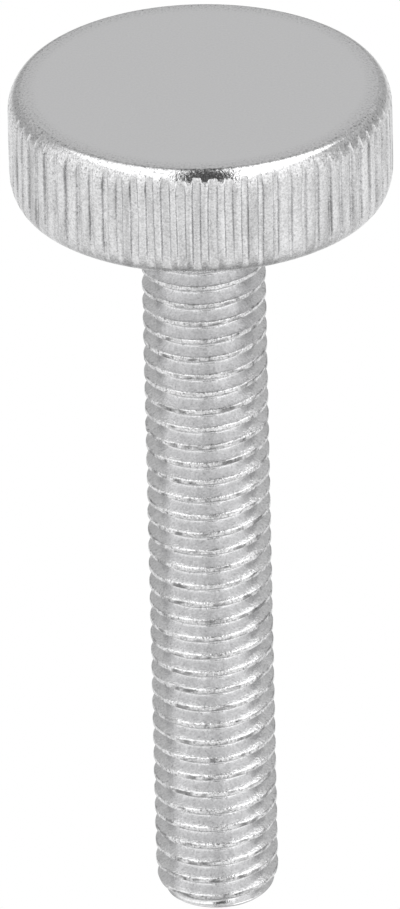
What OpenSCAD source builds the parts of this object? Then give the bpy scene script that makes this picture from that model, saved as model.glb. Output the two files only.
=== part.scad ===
// Knurled thumb screw, M8 x 50, in one piece of plated steel.
// It stands on its head: Z = 0 is the head's flat face and the threaded shank points up.

/* [Head] */
// Diameter over the knurl
head_d = 24; // [16:0.5:40]
// Height of the head, from the flat face to the bearing face
head_h = 7.2; // [5:0.1:16]
// How far in the rounding round the flat face reaches
face_edge_w = 0.9; // [0.4:0.1:1.6]
// How far along the knurl the rounding round the flat face reaches
face_edge_h = 1.6; // [0.4:0.1:2]
// How far in the rounding round the bearing face reaches
bearing_edge_w = 0.8; // [0.2:0.1:1.2]
// How far along the knurl the rounding round the bearing face reaches
bearing_edge_h = 1.8; // [0.2:0.1:2.5]

/* [Knurl] */
// Distance from one tooth to the next
tooth_pitch = 1; // [0.8:0.1:2.5]
// Depth of the grooves between the teeth
groove_depth = 0.2; // [0.1:0.05:0.5]
// Width of a groove at its mouth
groove_w = 0.62; // [0.4:0.02:0.7]
// Width across each sloping side of a groove
groove_side_w = 0.11; // [0.05:0.01:0.15]
// How far a tooth's top is crowned
tooth_crown = 0.03; // [0.01:0.01:0.05]

/* [Thread] */
// Diameter over the thread
thread_d = 7.8; // [5:0.05:12]
// Pitch of the right-hand thread
thread_pitch = 1.25; // [1:0.05:1.75]
// Plain neck between the bearing face and the first full turn
neck_len = 1.3; // [1:0.05:6]
// Length of the shank, from the bearing face to the tip
shank_len = 50; // [20:0.5:70]
// How far in the rounding of the tip reaches
tip_edge_w = 1; // [0.5:0.1:1.4]
// How far along the shank the rounding of the tip reaches
tip_edge_h = 1.8; // [0.6:0.1:3]

/* [Hidden] */

// Head and shank
head_r = head_d / 2;
thread_r = thread_d / 2;
shank_root_z = head_h / 2;   // the shank starts inside the head
tip_z = head_h + shank_len;
front = -90;        // the start of the thread faces this way
arc_steps = 5;      // chords in each rounded edge
round_fn = 96;

// Knurl
tooth_count = round(PI * head_d / tooth_pitch);
tooth_angle = 360 / tooth_count;
groove_share = groove_w / (PI * head_d / tooth_count);
floor_share = (groove_w - 2 * groove_side_w) / (PI * head_d / tooth_count);
groove_turn = 1.55;                // how far round from the front a groove's middle stands

// Thread of 60 degrees, with crests a fifth of a pitch wide and the standard depth
crest_w = thread_pitch / 5;
thread_depth = 0.6134 * thread_pitch;
flank_slope = tan(30);
cut_over = 0.064 * thread_pitch;   // how far the cut stands proud of the crests
turn_steps = 20;                   // rings in each turn of the cut
fade_steps = 10;                   // rings over which the cut deepens, by the head
first_share = 0.02;                // share of the full depth at the first ring, which is clear of the shank

cut_start_z = head_h + neck_len - thread_pitch * fade_steps / turn_steps;
cut_end_z = tip_z + thread_pitch;
cut_rings = ceil((cut_end_z - cut_start_z) / thread_pitch * turn_steps);

// Points of a quarter of an ellipse, from its end on the side to its end on the face
function edge_points(r, z, w, h, face) = [
    for (i = [0 : arc_steps])
        let (a = 90 * (face > 0 ? i : arc_steps - i) / arc_steps)
        [r - w + w * cos(a), z + face * (h * sin(a) - h)]
];

// Outline of the knurl: a flat-floored groove, then a crowned tooth, all the way round
function knurl_points() = [
    for (i = [0 : tooth_count - 1])
        for (p = [
            [-floor_share / 2, head_r - groove_depth],
            [floor_share / 2, head_r - groove_depth],
            [groove_share / 2, head_r - tooth_crown],
            [0.5, head_r],
            [1 - groove_share / 2, head_r - tooth_crown]
        ])
            let (a = front + groove_turn + (i + p[0]) * tooth_angle)
            [p[1] * cos(a), p[1] * sin(a)]
];

module head() {
    intersection() {
        linear_extrude(height = head_h)
            polygon(knurl_points());
        rotate_extrude($fn = round_fn)
            polygon(concat(
                [[0, 0]],
                edge_points(head_r, 0, face_edge_w, face_edge_h, -1),
                edge_points(head_r, head_h, bearing_edge_w, bearing_edge_h, 1),
                [[0, head_h]]
            ));
    }
}

module shank_blank() {
    rotate_extrude($fn = round_fn)
        polygon(concat(
            [[0, shank_root_z], [thread_r, shank_root_z]],
            edge_points(thread_r, tip_z, tip_edge_w, tip_edge_h, 1),
            [[0, tip_z]]
        ));
}

// One ring of the thread cut: two points outside the crests and two at the root
function cut_ring(i) =
    let (
        a = front + 360 * i / turn_steps,
        z = cut_start_z + thread_pitch * i / turn_steps,
        grown = max(first_share, min(1, i / fade_steps)),
        depth = grown * (thread_depth + cut_over),
        r_out = thread_r + cut_over,
        r_in = r_out - depth,
        half_out = (thread_pitch - crest_w) / 2 + cut_over * flank_slope,
        half_in = half_out - (thread_depth + cut_over) * flank_slope
    )
    [
        [r_out * cos(a), r_out * sin(a), z - half_out],
        [r_in * cos(a), r_in * sin(a), z - half_in],
        [r_in * cos(a), r_in * sin(a), z + half_in],
        [r_out * cos(a), r_out * sin(a), z + half_out]
    ];

module thread_cut() {
    corners = len(cut_ring(0));
    points = [for (i = [0 : cut_rings]) each cut_ring(i)];
    last = corners * cut_rings;
    sides = [
        for (i = [0 : cut_rings - 1], j = [0 : corners - 1])
            let (
                a = corners * i + j,
                b = corners * i + (j + 1) % corners,
                c = b + corners,
                d = a + corners
            )
            each [[a, c, b], [a, d, c]]
    ];
    caps = [[0, 1, 2], [0, 2, 3], [last, last + 2, last + 1], [last, last + 3, last + 2]];
    polyhedron(points, concat(sides, caps));
}

module thumb_screw() {
    color("silver") {
        head();
        difference() {
            shank_blank();
            thread_cut();
        }
    }
}

thumb_screw();
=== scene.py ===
import math

import bmesh
import bpy
import numpy as np
from mathutils import Matrix, Vector


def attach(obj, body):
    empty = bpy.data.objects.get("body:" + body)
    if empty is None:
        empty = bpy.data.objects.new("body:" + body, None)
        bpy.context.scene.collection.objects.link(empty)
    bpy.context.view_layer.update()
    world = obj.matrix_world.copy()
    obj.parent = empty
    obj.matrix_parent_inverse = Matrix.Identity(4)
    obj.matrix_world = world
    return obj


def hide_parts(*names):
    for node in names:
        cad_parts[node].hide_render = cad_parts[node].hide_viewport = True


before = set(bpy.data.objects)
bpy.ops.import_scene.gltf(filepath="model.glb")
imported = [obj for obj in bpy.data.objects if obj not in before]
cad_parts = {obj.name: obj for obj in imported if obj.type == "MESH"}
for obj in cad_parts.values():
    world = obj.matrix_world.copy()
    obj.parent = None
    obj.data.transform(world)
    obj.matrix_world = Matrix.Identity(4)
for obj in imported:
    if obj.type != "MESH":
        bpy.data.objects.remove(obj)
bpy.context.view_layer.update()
mm = 0.001  # the shapes below are in millimetres, the meshes in metres
front = -90.0  # angle of the side that faces the camera, in degrees

print("frame loaded:", sorted(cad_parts))


def softNoise(rows, columns, rowWidth, columnWidth, seed):
    # white noise blurred by a bell curve of the given widths, in cells, with its two
    # sides joined, and scaled so that its spread is 1
    draw = np.random.default_rng(seed).normal(size=(rows, columns))
    rowWave = np.fft.fftfreq(rows)[:, None] * rowWidth
    columnWave = np.fft.fftfreq(columns)[None, :] * columnWidth
    bell = np.exp(-2.0 * math.pi**2 * (rowWave**2 + columnWave**2))
    smooth = np.fft.ifft2(np.fft.fft2(draw) * bell).real
    return (smooth - smooth.mean()) / smooth.std()


def softMin(a, b, width):
    # the smaller of a and b, with the corner between them rounded over the given width
    share = np.clip(0.5 + 0.5 * (b - a) / width, 0.0, 1.0)
    return b * (1.0 - share) + a * share - width * share * (1.0 - share)


def turnedPoints(radius, angles, z):
    # x = r cos a, y = r sin a
    places = np.broadcast_arrays(radius * np.cos(angles), radius * np.sin(angles), z)
    return np.stack(places, axis=-1)


def gridQuads(ids):
    # faces between the rows and columns of a grid of vertex numbers
    low = ids[:-1]
    high = ids[1:]
    return np.stack([low[:, :-1], low[:, 1:], high[:, 1:], high[:, :-1]], axis=-1).reshape(-1, 4)


def ringSectors(outer, inner, flip):
    # flat many-sided faces that fill the band between two rings in one plane
    count = math.gcd(len(outer), len(inner))
    outerStep = len(outer) // count
    innerStep = len(inner) // count
    start = np.arange(count)[:, None]
    outerRun = outer[(start * outerStep + np.arange(outerStep + 1)) % len(outer)]
    innerRun = inner[(start * innerStep + np.arange(innerStep + 1)) % len(inner)]
    faces = np.concatenate([outerRun, innerRun[:, ::-1]], axis=1)
    return faces[:, ::-1] if flip else faces


# how the plating looks on the face that the screw stands on
facePlating = {"lumpy": 0.03, "pitted": 0.02, "dull": 0.45, "mottled": 0.08, "stainsAndShade": 0.0}

# and on the other flat faces, the bearing face and the tip's end
calmPlating = {"lumpy": 0.25, "pitted": 0.25, "dull": 0.34, "mottled": 0.4, "stainsAndShade": 0.04}

headShape = {
    "radius": 12.0,
    "height": 7.2,
    "faceEdge": (0.9, 1.6),       # width and height of the rounding at the flat face
    "bearingEdge": (0.8, 1.8),    # the same at the bearing face
    "innerRing": (10.2, 100),     # radius and points of a ring in the flat face
    "teeth": 75,
    "grooveTurn": 1.55,           # degrees from the front to the middle of a groove
    "columns": (0.0, 0.14, 0.20, 0.24, 0.28, 0.33, 0.5, 0.67, 0.72, 0.76, 0.80, 0.86),
    "faceRows": 15,
    "bandRows": 13,
    "bearingRows": 9,
    "grooveDepth": 0.2,
    "depthSpread": 0.15,          # how much the depth differs from groove to groove
    "grooveShare": 0.63,          # width of a groove's mouth as a share of the tooth pitch
    "sideShare": 0.12,            # width of each sloping side
    "widthSpread": 0.10,          # how much the width differs from groove to groove
    # degrees from the front to the middle of the stretch of wide grooves, and half its length
    "wideStretch": (8.0, 21.0),
    "stretchEnd": 2.0,            # degrees over which the stretch ends
    "narrowing": 0.5,             # how much narrower the other grooves are drawn
    "crown": 0.03,                # how far a tooth's top falls towards its edges
    "corner": 0.025,              # rounding where a tooth or groove meets the turned outline
    "shy": 0.004,                 # how far the knurl stays inside the full radius
    "wander": 0.03,               # sideways wander of the grooves, as a share of the pitch
    "streaks": 0.010,             # lengthwise scars of the knurling wheel
    "seed": 11,
}

# each pair is the value on the knurl and what the smooth rounding at the flat face adds
headPlating = {
    "lumpy": (0.60, -0.32),
    "pitted": (0.30, 0.45),
    "dull": (0.28, -0.14),
    "mottled": (0.60, 0.15),
    "stainsAndShade": (0.0, 0.06),
    "pittedSides": 0.4,           # more pits on the sloping sides of the grooves
    "fullCut": 0.12,              # depth of cut at which a place counts as knurl
    "shadeLine": 0.55,                 # how dark the painted shade line down a groove's side is
    "shadeLinePlace": (0.27, 0.035),   # its distance from the groove's middle and its width
    "shadeLineSpread": (0.3, 1.4),     # weakest and strongest painted shade line
    "faintShadeLine": 0.2,             # what is left of a narrow groove's second painted shade line
    "gaps": (0.60, 0.38),         # mean and spread of what breaks the painted shade line and the rim line up
    "scars": 0.08,                # lengthwise scars
    "toothTone": 0.5,             # spread of the teeth's own tones, as a share of the scars
    "rimLine": (0.16, 0.06),      # dark line just outside the flat face, on two rows
    "stainsAndShadeRange": (-0.15, 0.9),
    # the row where the flat face ends
    "rim": {"pitted": 0.7, "dull": 0.38, "mottled": 0.5, "stainsAndShade": 0.06},
}


def headSurface(shape, plating):
    # each row follows the turned outline of the head: a quarter ellipse, a straight band
    # and a second quarter ellipse; each column is cut back to the knurl's own radius
    full = shape["radius"]
    faceWide, faceHigh = shape["faceEdge"]
    bearingWide, bearingHigh = shape["bearingEdge"]
    turn = np.linspace(0.0, math.pi / 2, shape["faceRows"])
    faceEdge = np.stack([full - faceWide + faceWide * np.sin(turn), faceHigh * (1 - np.cos(turn))], -1)
    height = np.linspace(faceHigh, shape["height"] - bearingHigh, shape["bandRows"] + 2)[1:-1]
    band = np.stack([np.full_like(height, full), height], -1)
    turn = np.linspace(0.0, math.pi / 2, shape["bearingRows"])
    bearingEdge = np.stack([full - bearingWide + bearingWide * np.cos(turn),
                            shape["height"] - bearingHigh + bearingHigh * np.sin(turn)], -1)
    outline = np.concatenate([faceEdge, band, bearingEdge])

    # columns are placed across each tooth, and drift and widen with its own groove; all
    # grooves but those on one stretch of the front are drawn narrower
    teeth = shape["teeth"]
    across = np.array(shape["columns"])
    perTooth = len(across)
    columns = teeth * perTooth
    rows = len(outline)
    r = np.repeat(outline[:, :1], columns, axis=1)
    z = np.repeat(outline[:, 1:], columns, axis=1)
    draw = np.random.default_rng(shape["seed"])
    away = np.minimum(across, 1.0 - across)
    fromGroove = np.where(across > 0.5, across - 1.0, across)
    turned = (shape["grooveTurn"] + np.arange(teeth) * 360.0 / teeth + 180.0) % 360.0 - 180.0
    middle, reach = shape["wideStretch"]
    wide = 1.0 / (1.0 + np.exp((np.abs(turned - middle) - reach) / shape["stretchEnd"]))
    spread = shape["widthSpread"] * draw.normal(size=teeth) - shape["narrowing"] * (1.0 - wide)
    ownSpread = np.where(across[None, :] > 0.5, np.roll(spread, -1)[:, None], spread[:, None])
    drawn = fromGroove * (1.0 + ownSpread * (1.0 - (2.0 * away) ** 3))
    place = np.arange(teeth)[:, None] + np.where(across > 0.5, 1.0, 0.0)[None, :] + drawn
    drift = softNoise(rows, teeth, 6, 0.6, shape["seed"] + 1) * shape["wander"]
    here = np.repeat(drift, perTooth, axis=1)
    after = np.repeat(np.roll(drift, -1, axis=1), perTooth, axis=1)
    shareAfter = np.tile(across, teeth)[None, :]
    place = place.ravel()[None, :] + here * (1.0 - shareAfter) + after * shareAfter
    angles = np.radians(front + shape["grooveTurn"] + place * 360.0 / teeth)

    # the knurl's radius across a tooth: a groove with a flat floor and smooth sides,
    # s^2 (3 - 2s), then a top that falls off as a parabola towards its edges
    grooveDepth = shape["grooveDepth"] * (1.0 + shape["depthSpread"] * draw.normal(size=teeth))
    depth = np.where(across[None, :] > 0.5, np.roll(grooveDepth, -1)[:, None], grooveDepth[:, None])
    side = np.clip((shape["grooveShare"] / 2 - away) / shape["sideShare"], 0.0, 1.0)
    valley = depth * (side**2 * (3.0 - 2.0 * side))[None, :]
    halfTop = 0.5 - shape["grooveShare"] / 2
    top = shape["crown"] * np.clip((0.5 - away) / halfTop, 0.0, 1.0) ** 2
    knurl = full - shape["shy"] - (valley + top[None, :]).ravel()[None, :]
    streaks = softNoise(rows, columns, 2.2, 0.8, shape["seed"] + 2) * shape["streaks"]
    r = softMin(r, knurl + streaks, shape["corner"])
    r[0] = outline[0, 0]
    r[-1] = outline[-1, 0]
    r = np.minimum(r, full - shape["shy"] / 2)

    # the plating is smoother on the rounding at the flat face, where no groove cuts it
    rounding = np.clip(1.25 - z / faceHigh, 0.0, 1.0)
    cut = np.clip((outline[:, :1] - r) / plating["fullCut"], 0.0, 1.0)
    smooth = rounding * (1.0 - cut)
    finish = {name: plating[name][0] + plating[name][1] * smooth for name in calmPlating}
    finish["pitted"] += plating["pittedSides"] * np.tile(4.0 * side * (1.0 - side), teeth)[None, :] * cut

    # stains and painted shade: a dark line of painted shade down one side of a groove, the side
    # chosen by which half of the front the tooth is on, or both on the wide stretch, broken up along
    # its length; teeth of slightly different tones, with lengthwise scars; and a thin dark line where the
    # rounding starts
    shadeLineAway, shadeLineWidth = plating["shadeLinePlace"]
    shadeLine = np.tile(np.exp(-((away - shadeLineAway) / shadeLineWidth) ** 2), teeth)
    shadeStrength = draw.uniform(*plating["shadeLineSpread"], size=(teeth, 2))
    faintShade = plating["faintShadeLine"] + (1.0 - plating["faintShadeLine"]) * wide
    shadeStrength[:, 0] *= np.where(turned > 0.0, 1.0, faintShade)
    shadeStrength[:, 1] *= np.where(turned > 0.0, faintShade, 1.0)
    shadeLine *= np.repeat(shadeStrength.ravel(), perTooth // 2)
    gapMean, gapSpread = plating["gaps"]
    broken = np.clip(gapMean + gapSpread * softNoise(rows, columns, 2.0, 1.0, shape["seed"] + 3), 0.0, 1.2)
    scars = softNoise(rows, columns, 3.0, 0.5, shape["seed"] + 4)
    scars += plating["toothTone"] * np.repeat(draw.normal(size=teeth), perTooth)[None, :]
    # painted shade: the groove-side line darkens the colour through the stain value
    finish["stainsAndShade"] += shadeLine[None, :] * cut * broken * plating["shadeLine"]
    finish["stainsAndShade"] += plating["scars"] * scars * (1.0 - smooth)
    for name, value in plating["rim"].items():
        finish[name][0] = value
    for row, dark in enumerate(plating["rimLine"], start=1):
        finish["stainsAndShade"][row] += dark * broken[row]
    # the stain value holds painted shade as well as stains, scars and tones
    finish["stainsAndShade"] = np.clip(finish["stainsAndShade"], *plating["stainsAndShadeRange"])
    for name, value in calmPlating.items():
        finish[name][-1] = value
    return turnedPoints(r, angles, z), angles[0], finish


threadShape = {
    "radius": 3.9,
    "pitch": 1.25,
    "firstGroove": 7.875,         # height of the groove's middle at the front, where it starts
    "fadeTurns": 0.5,             # turns over which the groove reaches its depth
    "depth": 0.767,
    "halfWidth": 0.50,            # half the groove's width at the crest
    "rootSoft": 0.20,             # rounding at the root
    "crestSoft": 0.02,            # at the crests
    "tipSoft": 0.03,              # and where the thread meets the tip
    "tip": 57.2,
    "tipEdge": (1.0, 1.8),        # width and height of the tip's rounding
    "columns": 100,
    "rows": (0.0, 0.04, 0.09, 0.13, 0.44, 0.48, 0.515, 0.55, 0.70, 0.735, 0.77, 0.81, 1.12, 1.16, 1.21),
    "below": 1.6,                 # pitches that the rows start below the bearing face
    "crestRough": 0.012,          # unevenness of the crests
    "seed": 5,
}

# each triple is the value on the flanks and what crests and root add
threadPlating = {
    "lumpy": (0.15, 0.70, 0.15),
    "pitted": (0.10, 0.75, 0.30),
    "dull": (0.20, 0.04, 0.0),
    "mottled": (0.30, 0.50, 0.0),
    "crest": (0.02, 0.12),        # where the crests lie, as a share of the depth, and how softly
    "root": (0.72, 0.2),          # the same for the root
    "dashes": 0.5,                # how dark the dashes on the crests are
    "dashStart": 0.1,             # level of the noise over which there is a dash
    "bare": 0.03,                 # how much lighter the crests are between them
    "dashDepth": 0.05,            # depth of cut at which they fade
    "blots": 0.03,                # uneven tone everywhere
}


def shankSurface(shape, plating, startZ):
    # rows climb with the thread: z = row height + pitch x turn, so the last column is the
    # first one a pitch further up; both ends are squeezed onto their flat planes
    count = shape["columns"]
    pitch = shape["pitch"]
    full = shape["radius"]
    tipWide, tipHigh = shape["tipEdge"]
    tipStart = shape["tip"] - tipHigh
    lastStep = tipStart + tipHigh * math.pi / 2
    low = startZ - shape["below"] * pitch
    turns = int(math.ceil((lastStep - low) / pitch)) + 2
    firstPhase = (shape["firstGroove"] - low) % pitch
    steps = (np.arange(turns)[:, None] * pitch + np.array(shape["rows"])[None, :]).ravel()
    steps = steps + low - pitch + firstPhase
    turn = np.arange(count) / count
    s = steps[:, None] + pitch * turn[None, :]

    # at the tip the path bends round a quarter ellipse and ends flat
    bend = np.clip((s - tipStart) / tipHigh, 0.0, math.pi / 2)
    z = np.clip(np.where(s < tipStart, s, tipStart + tipHigh * np.sin(bend)), startZ, shape["tip"])
    outer = full - tipWide * (1.0 - np.cos(bend))

    # a 60 degree groove: its depth falls by 1 / tan 30 with the distance from its middle,
    # with a rounded root and softened crests
    fromStart = z - shape["firstGroove"]
    away = np.abs((fromStart / pitch - turn[None, :] + 0.5) % 1.0 - 0.5) * pitch
    started = np.clip((fromStart + 0.5 * pitch) / (pitch * shape["fadeTurns"]) - 0.5, 0.0, 1.0)
    cut = (shape["halfWidth"] - away) / math.tan(math.radians(30.0))
    cut = softMin(cut, np.full_like(cut, shape["depth"]), shape["rootSoft"])
    crest = softNoise(len(steps), count, 0.8, 1.0, shape["seed"]) * shape["crestRough"]
    cut = -softMin(-cut * started, -np.abs(crest), shape["crestSoft"])
    cut = np.clip(cut, 0.0, None)
    r = softMin(outer, full - cut, shape["tipSoft"])
    r = np.where(s >= lastStep, full - tipWide, r)
    r = np.where(z <= startZ, full, np.minimum(r, full))
    angles = np.radians(front) + 2 * math.pi * turn

    # lumps and pits gather on the crests and in the root; the flanks are smoother
    depth = cut / shape["depth"]
    crestDepth, crestWidth = plating["crest"]
    nearCrest = np.exp(-((depth - crestDepth) / crestWidth) ** 2)
    rootStart, rootWidth = plating["root"]
    nearRoot = np.clip((depth - rootStart) / rootWidth, 0.0, 1.0)
    finish = {}
    for name in ("lumpy", "pitted", "dull", "mottled"):
        flank, onCrest, inRoot = plating[name]
        finish[name] = flank + onCrest * nearCrest + inRoot * nearRoot

    # dark dashes along the crests, where a noise rises over a level
    blots = softNoise(len(steps), count, 1.0, 0.7, shape["seed"] + 1)
    dashes = plating["dashes"] * np.clip(blots - plating["dashStart"], 0.0, 1.2) - plating["bare"]
    finish["stainsAndShade"] = dashes * np.exp(-(cut / plating["dashDepth"]) ** 2) + plating["blots"] * blots
    for name, value in calmPlating.items():
        finish[name][z <= startZ] = value
        finish[name][s >= lastStep] = value
    return turnedPoints(r, angles[None, :], z), finish


def buildScrew(head, thread):
    # both surfaces in one mesh, with the flat faces filled in between their rings
    headPoints, headAngles, headFinish = headSurface(head, headPlating)
    shankPoints, shankFinish = shankSurface(thread, threadPlating, head["height"])
    headRows, headColumns = headPoints.shape[:2]
    shankRows, shankColumns = shankPoints.shape[:2]
    ringRadius, ringCount = head["innerRing"]
    headIds = np.arange(headRows * headColumns).reshape(headRows, headColumns)
    shankIds = headIds.size + np.arange(shankRows * shankColumns).reshape(shankRows, shankColumns)
    innerRing = headIds.size + shankIds.size + np.arange(ringCount)
    innerPoints = turnedPoints(ringRadius, headAngles[::headColumns // ringCount], 0.0)
    points = np.concatenate([headPoints.reshape(-1, 3), shankPoints.reshape(-1, 3), innerPoints]) * mm

    # the head's columns close on themselves; the shank's close one pitch further up
    headQuads = gridQuads(np.concatenate([headIds, headIds[:, :1]], axis=1))
    perPitch = len(thread["rows"])
    later = np.concatenate([shankIds[perPitch:, :1], np.repeat(shankIds[-1:, :1], perPitch, axis=0)])
    shankQuads = gridQuads(np.concatenate([shankIds, later], axis=1))
    faceBand = ringSectors(headIds[0], innerRing, True)
    bearingBand = ringSectors(headIds[-1], shankIds[0], False)
    faces = headQuads.tolist() + shankQuads.tolist()
    flatFrom = len(faces)
    faces += faceBand.tolist() + [innerRing[::-1].tolist()] + bearingBand.tolist() + [shankIds[-1].tolist()]
    mesh = bpy.data.meshes.new("thumbScrew")
    mesh.from_pydata(points.tolist(), [], faces)
    smooth = np.ones(len(faces), dtype=bool)
    smooth[flatFrom:] = False
    mesh.polygons.foreach_set("use_smooth", smooth)

    # the plating's finish is kept on the points, for the material
    for name, flat in facePlating.items():
        layer = mesh.attributes.new(name, "FLOAT", "POINT")
        ring = np.full(ringCount, flat)
        values = np.concatenate([headFinish[name].ravel(), shankFinish[name].ravel(), ring])
        layer.data.foreach_set("value", values)
    mesh.update()
    return mesh


def mergeDoubles(mesh, distance):
    # joins points that share a place, and counts what is left
    work = bmesh.new()
    work.from_mesh(mesh)
    bmesh.ops.remove_doubles(work, verts=work.verts, dist=distance)
    bmesh.ops.dissolve_degenerate(work, edges=work.edges, dist=distance)
    volume = work.calc_volume(signed=True)
    work.to_mesh(mesh)
    work.free()
    loopEdges = np.empty(len(mesh.loops), dtype=np.int32)
    mesh.loops.foreach_get("edge_index", loopEdges)
    openEdges = int(np.sum(np.bincount(loopEdges, minlength=len(mesh.edges)) != 2))
    loopPoints = np.empty(len(mesh.loops), dtype=np.int32)
    mesh.loops.foreach_get("vertex_index", loopPoints)
    loosePoints = len(mesh.vertices) - len(np.unique(loopPoints))
    triangles = len(mesh.loops) - 2 * len(mesh.polygons)
    print("screw mesh:", triangles, "triangles,", len(mesh.vertices), "points,", openEdges, "open edges,",
          loosePoints, "loose points,", round(volume * 1e9), "cubic mm")


screwMesh = buildScrew(headShape, threadShape)
mergeDoubles(screwMesh, 2e-7)
screw = bpy.data.objects.new("thumbScrewBody", screwMesh)
bpy.context.scene.collection.objects.link(screw)


def addNode(tree, kind, feeds=None, **settings):
    # a new node: settings are its own, feeds are a value or a socket for each input
    node = tree.nodes.new(kind)
    for name, value in settings.items():
        setattr(node, name, value)
    for name, value in (feeds or {}).items():
        if isinstance(value, bpy.types.NodeSocket):
            tree.links.new(value, node.inputs[name])
        else:
            node.inputs[name].default_value = value
    return node


def addMaths(tree, operation, first, second, clamp=False):
    node = addNode(tree, "ShaderNodeMath", {0: first, 1: second}, operation=operation, use_clamp=clamp)
    return node.outputs[0]


platedSteel = {
    "colour": (0.80, 0.80, 0.806),
    "pitColour": (0.2, 0.2, 0.205),
    "roughSpread": 0.08,
    "grain": 5200.0,              # lumps per metre, so one is about 0.2 mm
    "fineGrain": 12000.0,
    "fineShare": 0.45,            # how high the fine lumps are, as a share of the coarse
    "lumpHeight": 0.00004,
    "mottleGrain": 7000.0,
    "brightest": 1.24,
    "pitGrain": 6500.0,
    "pitStart": 0.56,
    "pitEdge": 9.0,               # how sharply a pit starts
}


def makePlatedSteel(settings):
    material = bpy.data.materials.new("platedSteel")
    material.use_nodes = True
    tree = material.node_tree
    shader = tree.nodes["Principled BSDF"]
    shader.inputs["Metallic"].default_value = 1.0
    place = addNode(tree, "ShaderNodeTexCoord").outputs["Object"]

    def noise(scale, detail, roughness=0.55):
        feeds = {"Vector": place, "Scale": scale, "Detail": detail, "Roughness": roughness}
        return addNode(tree, "ShaderNodeTexNoise", feeds).outputs["Fac"]

    def onPoints(name):
        return addNode(tree, "ShaderNodeAttribute", attribute_name=name).outputs["Fac"]

    # lumps in the plating, as height: a coarse noise and a share of a fine one
    coarse = noise(settings["grain"], 2.0)
    fine = noise(settings["fineGrain"], 2.0)
    height = addMaths(tree, "ADD", coarse, addMaths(tree, "MULTIPLY", fine, settings["fineShare"]))
    lumpy = addMaths(tree, "MULTIPLY", onPoints("lumpy"), 1.0, clamp=True)
    bump = addNode(tree, "ShaderNodeBump",
                   {"Distance": settings["lumpHeight"], "Strength": lumpy, "Height": height})
    tree.links.new(bump.outputs["Normal"], shader.inputs["Normal"])

    # pits: where a finer noise rises over a level, weighted by how pitted the place is
    level = addMaths(tree, "SUBTRACT", noise(settings["pitGrain"], 3.0, 0.6), settings["pitStart"])
    pit = addMaths(tree, "MULTIPLY", level, settings["pitEdge"], clamp=True)
    pit = addMaths(tree, "MULTIPLY", pit, onPoints("pitted"), clamp=True)
    colours = {"A": (*settings["colour"], 1.0), "B": (*settings["pitColour"], 1.0), "Factor": pit}
    tint = addNode(tree, "ShaderNodeMix", colours, data_type="RGBA").outputs["Result"]

    # mottling, stains and painted shade: the colour times 1 + mottled x twice the noise's rise over a
    # half, times 1 - the stain value (stains and painted shade), and never brighter than brightest times
    # the colour
    rise = addMaths(tree, "SUBTRACT", noise(settings["mottleGrain"], 3.0, 0.65), 0.5)
    patch = addMaths(tree, "MULTIPLY", rise, 2.0)
    shade = addMaths(tree, "ADD", addMaths(tree, "MULTIPLY", patch, onPoints("mottled")), 1.0)
    shade = addMaths(tree, "MULTIPLY", shade, addMaths(tree, "SUBTRACT", 1.0, onPoints("stainsAndShade")))
    shade = addMaths(tree, "MINIMUM", shade, settings["brightest"])
    colour = addNode(tree, "ShaderNodeVectorMath", {0: tint, "Scale": shade}, operation="SCALE")
    tree.links.new(colour.outputs[0], shader.inputs["Base Color"])

    # roughness: how dull the place is, and a little more or less with the coarse noise
    rise = addMaths(tree, "SUBTRACT", coarse, 0.5)
    spread = addMaths(tree, "MULTIPLY", rise, settings["roughSpread"] * 2)
    rough = addMaths(tree, "ADD", spread, onPoints("dull"), clamp=True)
    tree.links.new(rough, shader.inputs["Roughness"])
    return material


screwMesh.materials.append(makePlatedSteel(platedSteel))
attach(screw, "root")
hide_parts("thumb_screw")
print("plating ready")


floorSettings = {
    "size": 12.0,
    "height": -0.0001,
    "colour": (0.9, 0.9, 0.9, 1.0),
    "roughness": 0.9,
}


def makeFloor(settings):
    # a pale floor seen only from above: from beneath, and for light, it isn't there
    half = settings["size"] / 2
    mesh = bpy.data.meshes.new("floor")
    corners = [(-half, -half), (half, -half), (half, half), (-half, half)]
    mesh.from_pydata([(x, y, settings["height"]) for x, y in corners], [], [(0, 1, 2, 3)])
    material = bpy.data.materials.new("paleFloor")
    material.use_nodes = True
    tree = material.node_tree
    shader = tree.nodes["Principled BSDF"]
    shader.inputs["Base Color"].default_value = settings["colour"]
    shader.inputs["Roughness"].default_value = settings["roughness"]
    clear = addNode(tree, "ShaderNodeBsdfTransparent").outputs[0]
    direct = addNode(tree, "ShaderNodeLightPath").outputs["Is Camera Ray"]
    fromBeneath = addNode(tree, "ShaderNodeNewGeometry").outputs["Backfacing"]
    seen = addMaths(tree, "SUBTRACT", direct, fromBeneath, clamp=True)
    mix = addNode(tree, "ShaderNodeMixShader", {0: seen, 1: clear, 2: shader.outputs[0]})
    tree.links.new(mix.outputs[0], tree.nodes["Material Output"].inputs["Surface"])
    mesh.materials.append(material)
    floor = bpy.data.objects.new("floor", mesh)
    bpy.context.scene.collection.objects.link(floor)


worldSettings = {
    "seen": 1.0,
    "light": 0.62,
    # what the plating mirrors behind and before it, from straight down to straight up:
    # (height, brightness)
    "behind": ((-1.0, 0.51), (-0.55, 0.62), (-0.2, 0.51), (0.03, 0.50), (0.32, 0.95), (0.7, 0.85),
               (1.0, 0.3)),
    "before": ((-1.0, 1.0), (-0.3, 1.10), (0.1, 1.0), (0.35, 0.84), (0.7, 0.78), (1.0, 0.3)),
    "axis": (-0.2, 1.0, 0.0),     # the way from before to behind
    "turn": (0.25, -0.25),        # where along it behind gives way to before
    # how much of it is left across, along X: (place, share)
    "behindAcross": ((-1.0, 0.92), (-0.55, 0.92), (-0.2, 1.0), (0.2, 1.0), (0.55, 0.90), (1.0, 0.90)),
    "beforeAcross": ((-1.0, 1.04), (-0.6, 1.09), (-0.3, 1.08), (0.0, 0.86), (0.3, 0.99), (1.0, 1.0)),
}


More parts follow.
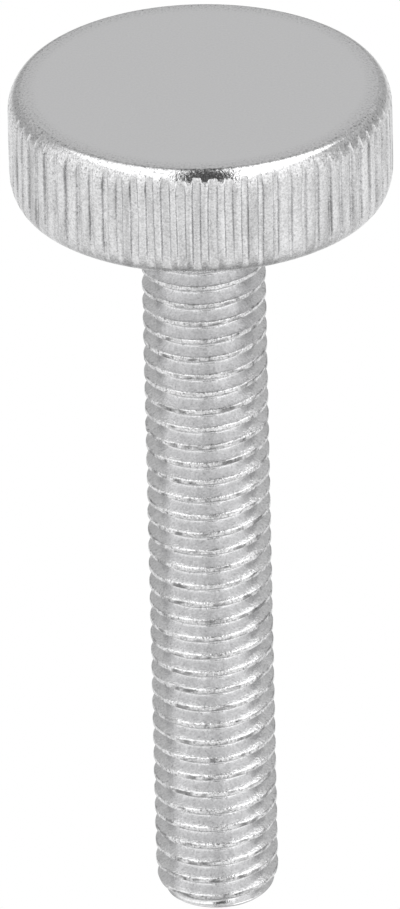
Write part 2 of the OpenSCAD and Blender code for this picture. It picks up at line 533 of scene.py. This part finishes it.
def makeWorld(settings):
    # white where it is seen directly, the tones where it is mirrored, and a plain level
    # where it lights
    world = bpy.data.worlds.new("studio")
    bpy.context.scene.world = world
    world.use_nodes = True
    tree = world.node_tree
    path = addNode(tree, "ShaderNodeLightPath").outputs
    shiny = addMaths(tree, "MAXIMUM", path["Is Glossy Ray"], path["Is Transmission Ray"])
    way = addNode(tree, "ShaderNodeTexCoord").outputs["Generated"]
    axes = addNode(tree, "ShaderNodeSeparateXYZ", {0: way}).outputs
    along = addNode(tree, "ShaderNodeVectorMath", {0: way, 1: settings["axis"]}, operation="DOT_PRODUCT")

    def fromZeroToOne(value, low, high, **kind):
        feeds = {"Value": value, "From Min": low, "From Max": high}
        return addNode(tree, "ShaderNodeMapRange", feeds, **kind).outputs["Result"]

    def tones(name, where):
        # straight lines between (place from -1 to 1, tone)
        ramp = addNode(tree, "ShaderNodeValToRGB", {"Fac": where})
        stops = ramp.color_ramp.elements
        while len(stops) < len(settings[name]):
            stops.new(0.5)
        for stop, (position, tone) in zip(stops, settings[name]):
            stop.position = (position + 1.0) / 2.0
            stop.color = (tone, tone, tone, 1.0)
        return ramp.outputs["Color"]

    height = fromZeroToOne(axes["Z"], -1.0, 1.0)
    across = fromZeroToOne(axes["X"], -1.0, 1.0)
    turn = fromZeroToOne(along.outputs["Value"], *settings["turn"], interpolation_type="SMOOTHSTEP")
    behind = addMaths(tree, "MULTIPLY", tones("behind", height), tones("behindAcross", across))
    before = addMaths(tree, "MULTIPLY", tones("before", height), tones("beforeAcross", across))
    mirrored = addNode(tree, "ShaderNodeMix", {"Factor": turn, "A": behind, "B": before}).outputs["Result"]
    lit = addNode(tree, "ShaderNodeMix", {"Factor": shiny, "A": settings["light"], "B": mirrored})
    feeds = {"Factor": path["Is Camera Ray"], "A": lit.outputs["Result"], "B": settings["seen"]}
    seen = addNode(tree, "ShaderNodeMix", feeds)
    background = tree.nodes["Background"]
    background.inputs["Color"].default_value = (1.0, 1.0, 1.0, 1.0)
    tree.links.new(seen.outputs["Result"], background.inputs["Strength"])


flagSettings = {
    "height": -0.65,
    "corners": ((-0.80, -2.25), (0.60, -2.25), (0.035, 0.0), (0.02, 0.45), (-0.05, 0.45), (-0.07, 0.0)),
    "colour": (0.09, 0.09, 0.09, 1.0),
    "roughness": 0.9,
}


def makeFlag(settings):
    # a dark card between the two panels
    mesh = bpy.data.meshes.new("flag")
    corners = [(x, y, settings["height"]) for x, y in settings["corners"]]
    mesh.from_pydata(corners, [], [tuple(range(len(corners)))])
    material = bpy.data.materials.new("flagCloth")
    material.use_nodes = True
    shader = material.node_tree.nodes["Principled BSDF"]
    shader.inputs["Base Color"].default_value = settings["colour"]
    shader.inputs["Roughness"].default_value = settings["roughness"]
    mesh.materials.append(material)
    flag = bpy.data.objects.new("flag", mesh)
    flag.visible_camera = False
    bpy.context.scene.collection.objects.link(flag)


lampSettings = {
    # name: place in metres, aim, width, height, brightness of the panel
    "leftPanel": ((0.425, -1.17, -0.70), (0.425, -1.17, 0.0), 0.72, 2.85, 0.70),
    "rightPanel": ((-0.445, -1.17, -0.70), (-0.445, -1.17, 0.0), 0.72, 2.85, 1.12),
    "roomPanel": ((0.35, -0.75, 1.15), (0, 0, 0.02), 0.35, 0.35, 28.0),
}


def makeLamp(name, place, aim, width, height, brightness):
    # a panel's power in watts is pi x its area x its brightness
    lamp = bpy.data.lights.new(name, "AREA")
    lamp.shape = "RECTANGLE"
    lamp.size = width
    lamp.size_y = height
    lamp.energy = math.pi * width * height * brightness
    panel = bpy.data.objects.new(name, lamp)
    panel.location = place
    panel.rotation_mode = "QUATERNION"
    panel.rotation_quaternion = (Vector(aim) - Vector(place)).to_track_quat("-Z", "Y")
    bpy.context.scene.collection.objects.link(panel)
    return panel


cameraSettings = {
    "place": (0.0, -0.97885, -0.501849),
    "direction": (0.0004438, 0.8801533, 0.4746893),
    "roll": 178.6635,             # degrees about the line of sight
    "sensor": 36.0,
    "focal": 17670.87 / 909 * 36.0,
}


def makeCamera(settings):
    data = bpy.data.cameras.new("camera")
    data.sensor_width = settings["sensor"]
    data.lens = settings["focal"]
    data.clip_start = 0.05
    data.clip_end = 50.0
    camera = bpy.data.objects.new("camera", data)
    look = Vector(settings["direction"]).to_track_quat("-Z", "Y").to_matrix().to_4x4()
    roll = Matrix.Rotation(math.radians(settings["roll"]), 4, "Z")
    camera.matrix_world = Matrix.Translation(settings["place"]) @ look @ roll
    bpy.context.scene.collection.objects.link(camera)
    bpy.context.scene.camera = camera


makeFloor(floorSettings)
makeFlag(flagSettings)
makeWorld(worldSettings)
lamps = {name: makeLamp(name, *values) for name, values in lampSettings.items()}
lamps["roomPanel"].visible_glossy = False  # it only lights the floor
makeCamera(cameraSettings)
bpy.context.scene.view_settings.view_transform = "Standard"
print("stage, light and camera ready")
